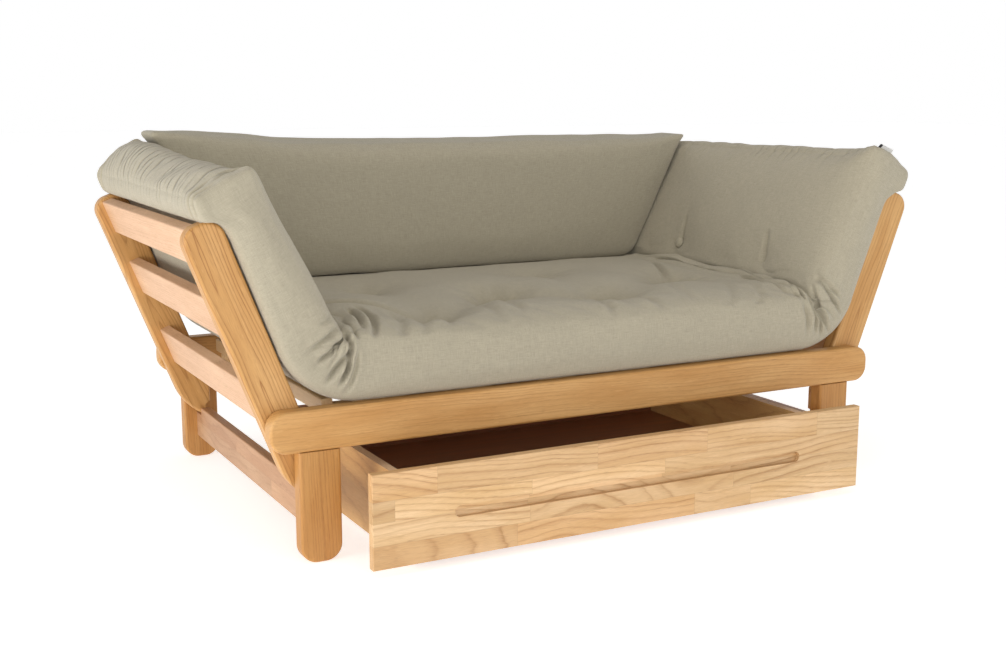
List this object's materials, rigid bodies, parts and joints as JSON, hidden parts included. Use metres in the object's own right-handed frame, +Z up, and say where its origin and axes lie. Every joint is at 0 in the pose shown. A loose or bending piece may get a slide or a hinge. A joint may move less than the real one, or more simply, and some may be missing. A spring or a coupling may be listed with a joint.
{
  "type": "futon sofa bed",
  "caption": "Timber daybed sofa with fold-down slatted arms, a folding futon, a wedge-ended back cushion and a roll-out underbed drawer on castors.",
  "frame": {"origin": "middle of the footprint on the floor, with the drawer standing 132 mm open as at rest", "axes": "+X along the length towards the right-hand arm seen from the front, +Y to the back, +Z up"},
  "size_m": [1.6632, 0.992, 0.752],
  "materials": {
    "oak": "satin oil",
    "oak_slat": "planed, satin",
    "stave_oak": "finger-jointed staves, satin",
    "softwood": "planed",
    "birch_ply": "lacquered",
    "dark_board": "stained, matt",
    "dowel_wood": "turned",
    "futon_fabric": "linen weave",
    "cushion_fabric": "linen weave",
    "steel": "zinc plated",
    "castor_plastic": "moulded",
    "castor_steel": "pressed, zinc plated"
  },
  "bodies": {
    "frame": {"front_rail": "oak", "rear_rail": "oak", "leg_front_left": "oak", "leg_front_right": "oak", "leg_rear_left": "oak", "leg_rear_right": "oak", "stretcher_left": "oak_slat", "stretcher_right": "oak_slat", "ledger_front": "softwood", "ledger_rear": "softwood", "seat_bearer_front": "softwood", "seat_bearer_rear": "softwood", "seat_slat_1": "softwood", "seat_slat_2": "softwood", "seat_slat_3": "softwood", "seat_slat_4": "softwood", "seat_slat_5": "softwood", "seat_slat_6": "softwood", "seat_end_left": "oak_slat", "seat_end_right": "oak_slat", "stop_dowel_front_left": "dowel_wood", "stop_dowel_front_right": "dowel_wood", "stop_dowel_rear_left": "dowel_wood", "stop_dowel_rear_right": "dowel_wood", "slat_screws": "steel", "pivot_pin_front_left": "steel", "pivot_pin_front_right": "steel", "pivot_pin_rear_left": "steel", "pivot_pin_rear_right": "steel", "futon_seat": "futon_fabric", "back_cushion": "cushion_fabric"},
    "left_arm": {"arm_left_board_front": "oak", "arm_left_board_rear": "oak", "arm_left_slat_bottom": "oak_slat", "arm_left_slat_middle": "oak_slat", "arm_left_slat_top": "oak_slat", "futon_arm_left": "futon_fabric"},
    "right_arm": {"arm_right_board_front": "oak", "arm_right_board_rear": "oak", "arm_right_slat_bottom": "oak_slat", "arm_right_slat_middle": "oak_slat", "arm_right_slat_top": "oak_slat", "futon_arm_right": "futon_fabric"},
    "drawer": {"drawer_front": "stave_oak", "drawer_side_left": "birch_ply", "drawer_side_right": "birch_ply", "drawer_back": "birch_ply", "drawer_bottom": "dark_board", "castor_bracket_front_left": "castor_steel", "castor_bracket_front_right": "castor_steel", "castor_bracket_rear_left": "castor_steel", "castor_bracket_rear_right": "castor_steel", "castor_axles": "steel", "castor_screws": "steel"},
    "wheel_front_left": {"castor_wheel_front_left": "castor_plastic"},
    "wheel_front_right": {"castor_wheel_front_right": "castor_plastic"},
    "wheel_rear_left": {"castor_wheel_rear_left": "castor_plastic"},
    "wheel_rear_right": {"castor_wheel_rear_right": "castor_plastic"}
  },
  "joints": [
    {"name": "left_arm_fold", "type": "hinge", "parent": "frame", "child": "left_arm", "pos_m": [-0.66, 0.066, 0.251], "axis": [0, -1, 0], "range_deg": [0, 69]},
    {"name": "right_arm_fold", "type": "hinge", "parent": "frame", "child": "right_arm", "pos_m": [0.66, 0.066, 0.251], "axis": [0, 1, 0], "range_deg": [0, 69]},
    {"name": "drawer_slide", "type": "slide", "parent": "frame", "child": "drawer", "axis": [0, -1, 0], "range_m": [-0.132, 0.45]},
    {"name": "wheel_spin_front_left", "type": "hinge", "parent": "drawer", "child": "wheel_front_left", "pos_m": [-0.4, -0.387, 0.02], "axis": [1, 0, 0], "continuous": true},
    {"name": "wheel_spin_front_right", "type": "hinge", "parent": "drawer", "child": "wheel_front_right", "pos_m": [0.4, -0.387, 0.02], "axis": [1, 0, 0], "continuous": true},
    {"name": "wheel_spin_rear_left", "type": "hinge", "parent": "drawer", "child": "wheel_rear_left", "pos_m": [-0.4, 0.087, 0.02], "axis": [1, 0, 0], "continuous": true},
    {"name": "wheel_spin_rear_right", "type": "hinge", "parent": "drawer", "child": "wheel_rear_right", "pos_m": [0.4, 0.087, 0.02], "axis": [1, 0, 0], "continuous": true}
  ],
  "couplings": [
    {"joint": "wheel_spin_front_left", "follows": "drawer_slide", "rad_per_m": 50},
    {"joint": "wheel_spin_front_right", "follows": "drawer_slide", "rad_per_m": 50},
    {"joint": "wheel_spin_rear_left", "follows": "drawer_slide", "rad_per_m": 50},
    {"joint": "wheel_spin_rear_right", "follows": "drawer_slide", "rad_per_m": 50}
  ]
}
